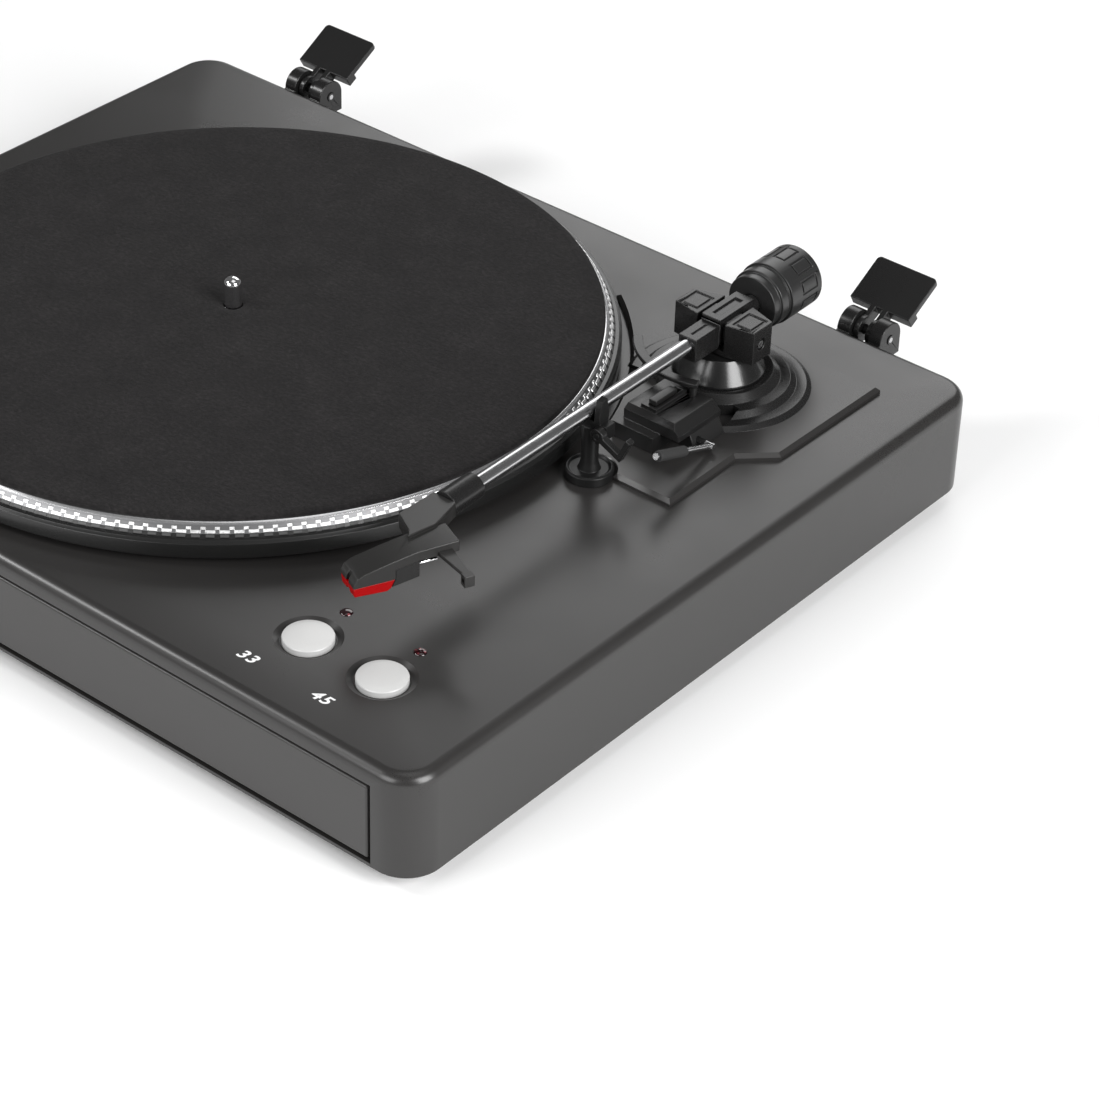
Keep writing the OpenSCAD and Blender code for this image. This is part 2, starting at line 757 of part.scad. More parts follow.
module counterweight() {
    color([0.1, 0.1, 0.1]) in_arm() translate([0, 0, arm_z]) difference() {
        union() {
            rod_y(weight_r - 1, weight_front, weight_front + 1.2);
            rod_y(weight_r, weight_front + 1, weight_front + weight_l - 1.2);
            rod_y(weight_r - 1.2, weight_front + 2, weight_front + weight_l);
        }
        rod_y(3.8 + fit_gap, weight_front - 1, stub_end + 2.4);
        for (a = [0 : 36 : 324])
            rotate([0, a, 0]) difference() {
                block([-2.9, weight_front + 8, weight_r - 0.8], [2.9, weight_front + 18, weight_r + 2]);
                block([-2.1, weight_front + 8.8, weight_r - 2], [2.1, weight_front + 17.2, weight_r + 3]);
            }
    }
}

module lift_housing() {
    color([0.12, 0.12, 0.12]) at_pivot() difference() {
        union() {
            block([lift_left - 2, -58.5, raised_z], [13, -29, raised_z + 7]);
            intersection() {
                translate([lift_left, 0, 0]) along_x(60) polygon([[lift_front, raised_z + 6.9],
                    [lift_front, lift_z - 1.6], [lift_front + 2.4, lift_z], [lift_back, lift_z],
                    [lift_back, raised_z + 6.9]]);
                along_y(120) polygon([[lift_left, raised_z], [lift_left, lift_z],
                    [lift_right - 4, lift_z], [lift_right, lift_z - 3.4], [lift_right, raised_z]]);
            }
            intersection() {
                block([12, -46, raised_z], [lift_right + 4, lift_back, lift_z]);
                along_y(120) polygon([[12, raised_z], [12, lift_z], [lift_right - 4, lift_z],
                    [lift_right + 2.5, raised_z]]);
            }
            block([0.8, -51, lift_z - 1], [8.4, -31.5, lift_z + 1.6]);
        }
        translate([0, 0, raised_z - 1]) cylinder(r = 25, h = 10, $fn = fine);
        block([3.4, -49.4, lift_z - 4], [6.6, -32.6, lift_z + 3]);
        at_plunger() translate([0, 0, raised_z + 3]) cylinder(r = 1.5 + fit_gap, h = 30, $fn = fine);
        translate([0, cue_y, cue_z]) rod_x(1.5 + fit_gap, 14, 30);
    }
}

module at_plunger() {
    rotate([0, 0, plunger_angle]) translate([(lift_r_in + lift_r_out) / 2, 0, 0]) children();
}

// Curved bar under the arm tube, on a plunger that the cue lever raises
module lift_bar() {
    color([0.1, 0.1, 0.1]) at_pivot() {
        translate([0, 0, bar_top - bar_t]) rotate([0, 0, 214])
            rotate_extrude(angle = 78.5, $fn = fine)
                translate([lift_r_in, 0]) square([lift_r_out - lift_r_in, bar_t]);
        at_plunger() translate([0, 0, raised_z + 3.4])
            cylinder(r = 1.5, h = bar_top - bar_t / 2 - raised_z - 3.4, $fn = fine);
    }
}

// Everything on the lever, in a frame whose -Y runs up the handle
module on_lever() {
    at_pivot() translate([0, cue_y, cue_z]) rotate([-cue_tilt, 0, 0]) children();
}

module cue_lever() {
    color("silver") on_lever() {
        rod_x(1.5, 14.6, cue_x + 1.8);
        translate([cue_x, 0, 0]) rod_y(1.3, -cue_l, 1.5);
    }
}

module cue_grip() {
    color([0.08, 0.08, 0.08]) on_lever() translate([cue_x, 0, 0]) difference() {
        rod_y(2.2, -cue_l + 1.5, -cue_l + 19);
        rod_y(1.3, -cue_l - 1, 0);
    }
}

module antiskate_slider() {
    color([0.1, 0.1, 0.1]) at_pivot() {
        block([3.1, -49, lift_z + 1.9], [6.9, -36, lift_z + 3.8]);
        block([3.7, -48.8, lift_z - 2], [6.3, -40, lift_z + 2]);
    }
}

module arm_rest() {
    cradle_z = arm_z - tube_r;
    color([0.1, 0.1, 0.1]) in_arm() translate([0, -rest_reach, 0]) {
        rotate_extrude($fn = fine) polygon([[0, raised_z - raised_h], [9.6, raised_z - raised_h],
            [9.6, raised_z + 0.9], [8.6, raised_z + 1.5], [7.5, raised_z + 0.6], [4.4, raised_z + 0.6],
            [3.4, raised_z + 4], [3.4, cradle_z - 4], [0, cradle_z - 4]]);
        block([-5.4, -2.8, cradle_z - 5], [6.3, 2.8, cradle_z - loose_gap]);
        translate([(tube_r + 0.5 + 6.3) / 2, 0, 0]) along_x(6.3 - tube_r - 0.5)
            polygon([[-2.8, cradle_z - 5], [2.8, cradle_z - 5], [2.8, arm_z + 1],
                [1.6, arm_z + 6.7], [-1.6, arm_z + 5.9], [-2.8, arm_z]]);
        block([6, -2.8, arm_z - 9.5], [9.5, 2.8, arm_z - 3.5]);
        translate([7.5, 0, arm_z - 6.5]) rod_y(1.4, -6.4, 0);
    }
}

// Hook that turns over the arm tube to lock it, shown swung open
module rest_clip() {
    color([0.1, 0.1, 0.1]) in_arm() translate([7.5, -rest_reach, arm_z - 6.5])
        rotate([0, 115, 0]) difference() {
            union() {
                translate([0, 0, 0]) rod_y(3, -6.2, -3.1);
                block([-1.2, -6.2, 0], [1.6, -3.1, 13]);
                block([-9.5, -6.2, 10.8], [1.6, -3.1, 13]);
            }
            rod_y(1.4 + fit_gap, -7, -3);
        }
}

// Back plate and two round cheeks that hold the hinge pin
module hinge_bracket(side) {
    color([0.12, 0.12, 0.12]) at_hinge(side) difference() {
        union() {
            block([-14, -hinge_gap, -32], [14, -hinge_gap + 3, -4]);
            for (sx = [-1, 1])
                translate([sx * 7.7, 0, 0]) {
                    rod_x(7.4, -3.1, 3.1);
                    block([-3.1, -hinge_gap, -26], [3.1, 2, -4]);
                    block([-3.1, -7.4, -9], [3.1, 7.4, 0]);
                    block([-3.1, -hinge_gap, -7], [3.1, 0, 0]);
                }
        }
        rod_x(pin_r, -20, 20);
    }
}

module hinge_pin(side) {
    color("silver") at_hinge(side) rod_x(pin_r, -11.2, 11.2);
}

// A flat flap with a thick lower edge, on two leaves between the cheeks
module hinge_flap(side) {
    slope = 9.4;
    color([0.13, 0.13, 0.13]) at_hinge(side) rotate([flap_tilt, 0, 0]) difference() {
        union() {
            translate([0, 0, flap_drop]) linear_extrude(flap_t) intersection() {
                translate([0, slope + 8]) round_rect(flap_w, 2 * (flap_reach - slope - 8), 2);
                translate([-flap_w, slope]) square([2 * flap_w, flap_reach]);
            }
            block([-flap_w / 2, slope, flap_drop - 2.6], [flap_w / 2, slope + 5, flap_drop + 1]);
            for (sx = [-1, 1])
                translate([sx * 3, 0, 0]) {
                    rod_x(5.5, -1.3, 1.3);
                    block([-1.3, 0, -2], [1.3, slope + 1, flap_drop + flap_t]);
                }
        }
        rod_x(pin_r + fit_gap, -20, 20);
    }
}

plinth();
front_panel();
bottom_cover();
foot(-1, -1);  // foot_front_left
foot(1, -1);  // foot_front_right
foot(-1, 1);  // foot_rear_left
foot(1, 1);  // foot_rear_right
case_screws();
bearing_housing();
bearing_bush();
spindle();
platter();
slip_mat();
drive_belt();
motor_pulley();
motor();
motor_plate();
motor_grommets();
control_board();
push_switches();
speed_button(0);  // button_33
speed_button(1);  // button_45
lamp(0);  // led_33
lamp(1);  // led_45
jack_board();
rca_socket(0);  // rca_left
rca_socket(1);  // rca_right
ground_post();
dc_socket();
line_switch();
tonearm_base();
pivot_cone();
swing_bush();
gimbal_yoke();
pivot_screw(-1);  // pivot_screw_left
pivot_screw(1);  // pivot_screw_right
arm_carrier();
arm_tube();
headshell_collar();
headshell();
cartridge();
stylus_holder();
cantilever();
finger_lift();
force_dial();
counterweight();
lift_housing();
lift_bar();
cue_lever();
cue_grip();
antiskate_slider();
arm_rest();
rest_clip();
hinge_bracket(-1);  // hinge_bracket_left
hinge_bracket(1);  // hinge_bracket_right
hinge_pin(-1);  // hinge_pin_left
hinge_pin(1);  // hinge_pin_right
hinge_flap(-1);  // hinge_flap_left
hinge_flap(1);  // hinge_flap_right
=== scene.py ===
import json
import math

import bmesh
import bpy
from mathutils import Matrix, Vector, noise


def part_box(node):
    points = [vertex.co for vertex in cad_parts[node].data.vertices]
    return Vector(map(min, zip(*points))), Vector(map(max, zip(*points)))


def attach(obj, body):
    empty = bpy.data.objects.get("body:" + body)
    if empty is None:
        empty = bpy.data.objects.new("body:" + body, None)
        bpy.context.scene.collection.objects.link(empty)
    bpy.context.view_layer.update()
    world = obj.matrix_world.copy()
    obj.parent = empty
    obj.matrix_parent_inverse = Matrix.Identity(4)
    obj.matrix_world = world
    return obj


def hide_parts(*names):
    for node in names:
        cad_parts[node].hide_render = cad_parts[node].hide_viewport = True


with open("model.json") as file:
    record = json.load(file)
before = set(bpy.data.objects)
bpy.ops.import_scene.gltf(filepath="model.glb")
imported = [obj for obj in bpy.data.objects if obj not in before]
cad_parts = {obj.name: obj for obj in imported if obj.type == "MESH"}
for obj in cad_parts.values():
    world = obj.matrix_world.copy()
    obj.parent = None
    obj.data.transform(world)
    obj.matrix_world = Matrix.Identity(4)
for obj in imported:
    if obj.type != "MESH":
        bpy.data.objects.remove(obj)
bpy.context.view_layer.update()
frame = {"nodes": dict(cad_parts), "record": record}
nodes = frame["nodes"]
mm = 0.001


# where things are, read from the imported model
def middle(node):
    low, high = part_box(node)
    return (low + high) / 2


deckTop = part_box("control_board")[1].z + 3 * mm
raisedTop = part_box("plinth")[1].z
spindleAt = middle("spindle")
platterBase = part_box("platter")[0].z
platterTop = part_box("platter")[1].z
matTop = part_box("slip_mat")[1].z
pivotAt = middle("swing_bush")
shell = {"yaw": 0.8, "across": 15.1, "ahead": -180.4, "turn": -24.7, "above": 15.0}
armFrame = (Matrix.Translation((pivotAt.x, pivotAt.y, 0))
            @ Matrix.Rotation(math.radians(shell["yaw"]), 4, "Z"))
shellFrame = (armFrame @ Matrix.Translation((shell["across"] * mm, shell["ahead"] * mm, 0))
              @ Matrix.Rotation(math.radians(shell["turn"]), 4, "Z"))
shellTop = matTop + shell["above"] * mm


# ---- shader maths as plain expressions
class Wire:
    def __init__(self, recipe, socket):
        self.recipe = recipe
        self.socket = socket

    def join(self, kind, first, second):
        return self.recipe.add("ShaderNodeMath", {"operation": kind}, {0: first, 1: second})

    def __add__(self, other):
        return self.join("ADD", self, other)

    def __radd__(self, other):
        return self.join("ADD", other, self)

    def __sub__(self, other):
        return self.join("SUBTRACT", self, other)

    def __rsub__(self, other):
        return self.join("SUBTRACT", other, self)

    def __mul__(self, other):
        return self.join("MULTIPLY", self, other)

    def __rmul__(self, other):
        return self.join("MULTIPLY", other, self)

    def __gt__(self, other):
        return self.join("GREATER_THAN", self, other)

    def __lt__(self, other):
        return self.join("LESS_THAN", self, other)


class Recipe:
    def __init__(self, name, **constants):
        self.material = bpy.data.materials.new(name)
        self.material.use_nodes = True
        self.tree = self.material.node_tree
        self.shader = self.tree.nodes["Principled BSDF"]
        for key, value in constants.items():
            socket = self.shader.inputs[key.replace("_", " ")]
            socket.default_value = (*value, 1) if isinstance(value, tuple) else value

    def add(self, kind, settings=None, inputs=None, output=0):
        node = self.tree.nodes.new(kind)
        for key, value in (settings or {}).items():
            if key == "stops":
                ramp = node.color_ramp
                for spot, (place, shade) in enumerate(value):
                    stop = ramp.elements[spot] if spot < 2 else ramp.elements.new(place)
                    stop.position = place
                    stop.color = (*shade, 1)
            else:
                setattr(node, key, value)
        for key, value in (inputs or {}).items():
            if isinstance(value, Wire):
                self.tree.links.new(value.socket, node.inputs[key])
            else:
                node.inputs[key].default_value = value
        return Wire(self, node.outputs[output])

    def place(self, scale=(1, 1, 1), shift=(0, 0, 0)):
        here = self.add("ShaderNodeTexCoord", output="Object")
        return self.add("ShaderNodeMapping", {"vector_type": "POINT"},
                        {"Vector": here, "Scale": scale, "Location": shift})

    def split(self, vector):
        node = self.tree.nodes.new("ShaderNodeSeparateXYZ")
        self.tree.links.new(vector.socket, node.inputs[0])
        return [Wire(self, out) for out in node.outputs]

    def speckle(self, scale, detail=3, roughness=0.5, vector=None):
        return self.add("ShaderNodeTexNoise", {"noise_dimensions": "3D"},
                        {"Vector": vector or self.place(), "Scale": scale, "Detail": detail,
                         "Roughness": roughness})

    def blend(self, amount, first, second):
        shades = [(*c, 1) if isinstance(c, tuple) else c for c in (first, second)]
        return self.add("ShaderNodeMix", {"data_type": "RGBA"},
                        {0: amount, 6: shades[0], 7: shades[1]}, output=2)

    def span(self, value, low, high, fromLow=0.0, fromHigh=1.0):
        return self.add("ShaderNodeMapRange", {"interpolation_type": "SMOOTHSTEP"},
                        {0: value, 1: fromLow, 2: fromHigh, 3: low, 4: high})

    def feed(self, **links):
        for key, wire in links.items():
            self.tree.links.new(wire.socket, self.shader.inputs[key.replace("_", " ")])
        return self

    def bump(self, height, strength, depth):
        normal = self.add("ShaderNodeBump", None,
                          {"Strength": strength, "Distance": depth, "Height": height})
        return self.feed(Normal=normal)


# moulded plastic: a fine even grain, with slow changes in tone and gloss
def mouldedPlastic(name, tone, gloss, grain=2200, depth=0.00004, shine=0.5):
    recipe = Recipe(name, Specular_IOR_Level=shine)
    slow = recipe.speckle(14, 4, 0.6)
    fine = recipe.speckle(grain, 2, 0.6)
    dark = tuple(c * 0.86 for c in tone)
    light = tuple(min(c * 1.14, 1) for c in tone)
    recipe.feed(Base_Color=recipe.blend(slow * 0.7 + fine * 0.3, dark, light),
                Roughness=recipe.span(slow + fine * 0.4, gloss - 0.04, gloss + 0.05, 0.4, 1.0))
    return recipe.bump(fine, 0.35, depth).material


# turned or rolled metal: fine lines across one axis
def turnedMetal(name, tone, gloss, stretch=(40, 40, 3000), depth=0.00001):
    recipe = Recipe(name, Metallic=1.0)
    lines = recipe.speckle(1, 3, 0.6, recipe.place(stretch))
    slow = recipe.speckle(30, 3)
    dark = tuple(c * 0.85 for c in tone)
    recipe.feed(Base_Color=recipe.blend(lines * 0.6 + slow * 0.4, dark, tone),
                Roughness=recipe.span(lines, gloss * 0.8, gloss * 1.25, 0.3, 0.7))
    return recipe.bump(lines, 0.15, depth).material


# short black felt: matted fibres with a soft sheen
def matFelt():
    recipe = Recipe("matFelt", Sheen_Weight=0.04, Sheen_Roughness=0.5, Specular_IOR_Level=0.06)
    warp = recipe.speckle(60, 4, 0.7)
    fibres = recipe.speckle(1, 5, 0.75, recipe.place((420, 700, 420)))
    fuzz = recipe.speckle(1500, 4, 0.8)
    mix = fibres * 0.45 + fuzz * 0.35 + warp * 0.2
    ramp = recipe.add("ShaderNodeValToRGB", {"stops": [(0.3, (0.006, 0.0058, 0.006)),
                      (0.72, (0.036, 0.033, 0.0335)), (0.5, (0.015, 0.0142, 0.0144))]}, {0: mix})
    recipe.feed(Base_Color=ramp, Roughness=recipe.span(fuzz, 0.86, 1.0))
    return recipe.bump(mix, 0.9, 0.0006).material


# satin aluminium rim above a black skirt, split by height on the platter
def platterFinish():
    recipe = Recipe("platterSatin", Specular_IOR_Level=0.55)
    place = recipe.place()
    height = recipe.split(place)[2]
    metal = height > platterTop - 3.5 * mm
    bright = height > platterTop - 0.75 * mm
    lines = recipe.speckle(1, 3, 0.6, recipe.place((30, 30, 5000)))
    slow = recipe.speckle(9, 3)
    dull = recipe.blend(lines, (0.22, 0.22, 0.225), (0.3, 0.3, 0.305))
    shine = recipe.blend(bright, dull, (0.74, 0.74, 0.75))
    black = recipe.blend(slow, (0.006, 0.006, 0.006), (0.01, 0.01, 0.0098))
    recipe.feed(Base_Color=recipe.blend(metal, black, shine),
                Metallic=metal * 0.95,
                Roughness=recipe.span(slow, 0.24, 0.3) + metal * 0.08 - bright * 0.12)
    return recipe.bump(lines, 0.12, 0.00001).material


# clear dark red lens with small bright cells inside
def lampLens():
    recipe = Recipe("lampLens", Coat_Weight=0.6, Coat_Roughness=0.03, Roughness=0.08)
    cells = recipe.add("ShaderNodeTexVoronoi", {"feature": "F1"},
                       {"Vector": recipe.place(), "Scale": 620.0})
    recipe.feed(Base_Color=recipe.blend(recipe.span(cells, 1.0, 0.0, 0.1, 0.45),
                                        (0.012, 0.002, 0.003), (0.22, 0.03, 0.04)))
    return recipe.bump(cells, 0.3, 0.0002).material


# coated circuit board with darker tracks
def circuitBoard():
    recipe = Recipe("boardGreen", Coat_Weight=0.3, Roughness=0.35)
    tracks = recipe.add("ShaderNodeTexBrick", {"offset": 0.3},
                        {"Vector": recipe.place((90, 90, 90)), "Scale": 4.0, "Mortar Size": 0.03},
                        output="Fac")
    recipe.feed(Base_Color=recipe.blend(tracks, (0.01, 0.12, 0.045), (0.02, 0.2, 0.08)))
    return recipe.material


# cue lever: a black cross shaft that ends in a plated rod
def leverFinish():
    recipe = Recipe("leverMetal")
    rod = recipe.split(recipe.place())[0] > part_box("cue_grip")[0].x
    grain = recipe.speckle(900, 2)
    recipe.feed(Base_Color=recipe.blend(rod, (0.012, 0.012, 0.012), (0.85, 0.85, 0.86)),
                Metallic=rod * 1.0, Roughness=recipe.span(grain, 0.14, 0.24))
    return recipe.material


# hinge pin: a small bright centre in a black head
def pinFinish(name, node):
    recipe = Recipe(name)
    place = recipe.split(recipe.place())
    centre = middle(node)
    across = place[1] - centre.y
    above = place[2] - centre.z
    bright = across * across + above * above < (1.15 * mm) ** 2
    grain = recipe.speckle(900, 2)
    recipe.feed(Base_Color=recipe.blend(bright, (0.01, 0.01, 0.01), (0.6, 0.6, 0.61)),
                Metallic=bright * 1.0, Roughness=recipe.span(grain, 0.24, 0.34))
    return recipe.material


# phono socket: a coloured ring at the wall and a metal barrel
def phonoSocket(name, tone):
    recipe = Recipe(name)
    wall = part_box("plinth")[1].y
    barrel = recipe.split(recipe.place())[1] > wall + 1.7 * mm
    grain = recipe.speckle(900, 2)
    recipe.feed(Base_Color=recipe.blend(barrel, tone, (0.75, 0.75, 0.74)), Metallic=barrel * 1.0,
                Roughness=recipe.span(grain, 0.22, 0.34))
    return recipe.material


print("finishes")
finish = {
    "deckBlack": mouldedPlastic("deckBlack", (0.022, 0.021, 0.0205), 0.3, 3200, 0.00001),
    "panelBlack": mouldedPlastic("panelBlack", (0.03, 0.0285, 0.028), 0.32, 2600, 0.00002),
    "armBlack": mouldedPlastic("armBlack", (0.01, 0.0098, 0.0098), 0.27, 3000, 0.00001, 0.42),
    "shellBlack": mouldedPlastic("shellBlack", (0.018, 0.0175, 0.017), 0.32, 3400, 0.00003, 0.38),
    "weightBlack": mouldedPlastic("weightBlack", (0.018, 0.018, 0.018), 0.3, 2600, 0.00002, 0.5),
    "coverBlack": mouldedPlastic("coverBlack", (0.02, 0.02, 0.02), 0.6, 900, 0.0001),
    "notchBlack": mouldedPlastic("notchBlack", (0.045, 0.045, 0.045), 0.4, 2600, 0.00002),
    "glossBlack": mouldedPlastic("glossBlack", (0.008, 0.008, 0.008), 0.24, 4000, 0.000005, 0.6),
    "rubberBlack": mouldedPlastic("rubberBlack", (0.017, 0.017, 0.017), 0.75, 1500, 0.00008),
    "buttonWhite": mouldedPlastic("buttonWhite", (0.52, 0.52, 0.515), 0.36, 3000, 0.00001),
    "stylusRed": mouldedPlastic("stylusRed", (0.28, 0.0006, 0.0015), 0.3, 3000, 0.00001, 0.15),
    "markWhite": mouldedPlastic("markWhite", (0.8, 0.8, 0.8), 0.55, 3000, 0.00001),
    "chrome": turnedMetal("chrome", (0.9, 0.9, 0.91), 0.09, (60, 60, 60)),
    "tubeMetal": turnedMetal("tubeMetal", (0.62, 0.62, 0.63), 0.2, (3000, 20, 3000)),
    "steel": turnedMetal("steel", (0.6, 0.6, 0.61), 0.28, (900, 900, 900)),
    "castMetal": turnedMetal("castMetal", (0.5, 0.5, 0.51), 0.4, (300, 300, 900)),
    "dotMetal": turnedMetal("dotMetal", (0.95, 0.95, 0.95), 0.42, (900, 900, 900)),
    "brass": turnedMetal("brass", (0.72, 0.52, 0.2), 0.24),
    "platterSatin": platterFinish(),
    "matFelt": matFelt(),
    "lampLens": lampLens(),
    "boardGreen": circuitBoard(),
    "leverMetal": leverFinish(),
    "pinLeft": pinFinish("pinLeft", "hinge_pin_left"),
    "pinRight": pinFinish("pinRight", "hinge_pin_right"),
    "restBlack": mouldedPlastic("restBlack", (0.009, 0.009, 0.009), 0.34, 3000, 0.00001, 0.22),
    "jackWhite": phonoSocket("jackWhite", (0.75, 0.74, 0.7)),
    "jackRed": phonoSocket("jackRed", (0.5, 0.015, 0.015)),
}


# ---- making pieces
def settle(name, bm, look, body, stands=(), smoothBelow=30):
    mesh = bpy.data.meshes.new(name)
    for face in bm.faces:
        face.smooth = True
    for edge in bm.edges:
        if len(edge.link_faces) == 2:
            edge.smooth = edge.calc_face_angle(0) < math.radians(smoothBelow)
    bm.to_mesh(mesh)
    bm.free()
    piece = bpy.data.objects.new(name, mesh)
    bpy.context.scene.collection.objects.link(piece)
    mesh.materials.append(finish[look])
    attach(piece, body)
    if stands:
        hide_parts(*stands)
    return piece


# turns a closed outline of (radius, height) points in millimetres round +Z
def turned(points, steps, at=(0, 0, 0), rounding=0.0):
    bm = bmesh.new()
    verts = [bm.verts.new((r * mm, 0, z * mm)) for r, z in points]
    edges = [bm.edges.new((verts[i], verts[i - 1])) for i in range(len(verts))]
    bmesh.ops.spin(bm, geom=verts + edges, cent=(0, 0, 0), axis=(0, 0, 1), steps=steps,
                   angle=math.tau, use_merge=True)
    bmesh.ops.remove_doubles(bm, verts=bm.verts, dist=1e-6)
    bmesh.ops.recalc_face_normals(bm, faces=bm.faces)
    if rounding:
        sharp = [e for e in bm.edges if e.calc_face_angle(0) > math.radians(25)]
        bmesh.ops.bevel(bm, geom=sharp, offset=rounding * mm, offset_type="OFFSET", segments=3,
                        profile=0.5, affect="EDGES", material=-1, clamp_overlap=True)
    bmesh.ops.translate(bm, vec=at, verts=bm.verts)
    return bm


# a copy of a CAD node with its sharp edges rounded
def eased(node, look, width, body, joined=True):
    bm = bmesh.new()
    bm.from_mesh(nodes[node].data)
    bmesh.ops.remove_doubles(bm, verts=bm.verts, dist=1e-6)
    if joined:
        bmesh.ops.dissolve_limit(bm, angle_limit=math.radians(0.4), verts=bm.verts,
                                 edges=bm.edges)
    piece = settle(node + "_eased", bm, look, body, [node], 35)
    bevel = piece.modifiers.new("edges", "BEVEL")
    bevel.width = width * mm
    bevel.segments = 3
    bevel.limit_method = "ANGLE"
    bevel.angle_limit = math.radians(28)
    bevel.use_clamp_overlap = False
    bevel.harden_normals = True
    return piece


def boxMesh(bm, low, high, place=None):
    size = Vector(high) - Vector(low)
    centre = (Vector(high) + Vector(low)) / 2
    made = bmesh.ops.create_cube(bm, size=1)["verts"]
    bmesh.ops.scale(bm, vec=size * mm, verts=made)
    bmesh.ops.translate(bm, vec=centre * mm, verts=made)
    if place:
        bmesh.ops.transform(bm, matrix=place, verts=made)
    return made


bodyOf = {n: b for b, ns in frame["record"]["behaviour"]["bodies"].items() for n in ns}


# the platter's rim: a polished bevel, a band of raised squares, a notched band and a skirt
rim = {"outer": 156.0, "top": 150.3, "drop": 0.7, "spread": 2.9, "fall": 4.0, "steps": 288,
       "dots": 180, "drive": 75.0, "driveWall": 2.5, "wall": 3.0, "web": 4.0, "bore": 3.0,
       "hub": 10.0}


def makePlatter():
    top = platterTop / mm
    base = platterBase / mm
    low = rim["drop"] + rim["fall"]
    outer, under = rim["outer"], top - rim["web"]
    drive, inner = rim["drive"], rim["drive"] - rim["driveWall"]
    outline = [(rim["bore"], top), (rim["top"] - 1, top), (rim["top"], top - rim["drop"]),
               (rim["top"] + rim["spread"], top - low), (outer - 1.3, top - low - 0.15),
               (outer - 1.2, top - low - 0.3), (outer, top - 5.8),
               (outer, base + 0.4), (outer - 0.4, base), (outer - rim["wall"], base),
               (outer - rim["wall"], top - 7.8), (rim["top"] - rim["wall"], under),
               (drive, under), (drive, base), (inner, base), (inner, under),
               (rim["hub"] + 4, under), (rim["hub"], base), (rim["bore"], base)]
    bm = turned(outline, rim["steps"], (spindleAt.x, spindleAt.y, 0), 0.15)
    settle("platter_turned", bm, "platterSatin", "platter_body", ["platter"])


# one row of small raised pads round the sloping rim, all in one piece
def makeDots(name, look, width, start, end, depth, phase):
    bm = bmesh.new()
    lean = Matrix.Rotation(-math.atan2(rim["spread"], rim["fall"]), 4, "Y")
    edge = Matrix.Translation((rim["top"] * mm, 0, platterTop - rim["drop"] * mm))
    for step in range(rim["dots"]):
        angle = math.tau * (step + phase) / rim["dots"]
        turn = (Matrix.Translation((spindleAt.x, spindleAt.y, 0)) @ Matrix.Rotation(angle, 4, "Z"))
        boxMesh(bm, (-0.4, -width / 2, -end), (depth, width / 2, -start), turn @ edge @ lean)
    edges = [e for e in bm.edges if e.calc_face_angle(0) > 1]
    bmesh.ops.bevel(bm, geom=edges, offset=0.12 * mm, offset_type="OFFSET", segments=1,
                    profile=0.5, affect="EDGES", material=-1, clamp_overlap=True)
    settle(name, bm, look, "platter_body")


print("platter")
makePlatter()
makeDots("strobe_squares", "dotMetal", 1.9, 0.75, 2.0, 0.35, 0.0)
makeDots("strobe_bars", "dotMetal", 3.8, 2.0, 3.3, 0.3, 0.5)
makeDots("strobe_notches", "notchBlack", 3.3, 3.6, 4.75, 0.3, 0.5)


# felt mat: a thick sheet laid on the platter, with a soft edge and a slightly uneven face
felt = {"radius": 149.2, "hole": 3.75, "thick": 2.0, "rings": 60, "steps": 240, "swell": 0.12}


def makeMat():
    top = matTop / mm
    low = top - felt["thick"]
    reach = felt["radius"] - 0.9 - felt["hole"] - 0.6
    inner = felt["hole"] + 0.6
    face = [(inner + reach * i / felt["rings"], top) for i in range(felt["rings"] + 1)]
    outline = ([(felt["hole"], low), (felt["hole"], top - 0.6), (felt["hole"] + 0.2, top - 0.15)]
               + face + [(felt["radius"] - 0.3, top - 0.25), (felt["radius"], top - 0.9),
                         (felt["radius"] - 0.1, low + 0.3), (felt["radius"] - 0.4, low)])
    bm = turned(outline, felt["steps"])
    for vert in bm.verts:
        if vert.co.z > (top - 0.3) * mm:
            spot = vert.co * 45
            vert.co.z -= felt["swell"] * mm * (0.5 + 0.5 * noise.noise(spot))
    bmesh.ops.translate(bm, vec=(spindleAt.x, spindleAt.y, 0), verts=bm.verts)
    piece = settle("felt_mat", bm, "matFelt", "platter_body", ["slip_mat"], 50)


print("felt mat")
makeMat()


# spindle: a straight pin with a domed end, on a thinner shaft
pin = {"radius": 3.6, "shaft": 3.0, "chamfer": 0.2, "dome": 3.0}


def makeSpindle():
    low, high = (corner.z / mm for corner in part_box("spindle"))
    top = matTop / mm
    dome = [(pin["radius"] * math.cos(math.radians(a)), high - pin["dome"]
             + pin["dome"] * math.sin(math.radians(a))) for a in range(0, 90, 10)]
    outline = ([(0, low), (pin["shaft"] - pin["chamfer"], low), (pin["shaft"], low + 0.3),
                (pin["shaft"], top), (pin["radius"], top)] + dome + [(0, high)])
    bm = turned(outline, 64, (spindleAt.x, spindleAt.y, 0))
    settle("spindle_pin", bm, "chrome", "platter_body", ["spindle"])


print("spindle")
makeSpindle()

# speed buttons: white domed caps over a flange and stem
cap = {"radius": 9.6, "dome": 0.9, "sweep": 20, "flange": 1.4, "stem": 2.0, "tall": 7.6,
       "under": 5.1}


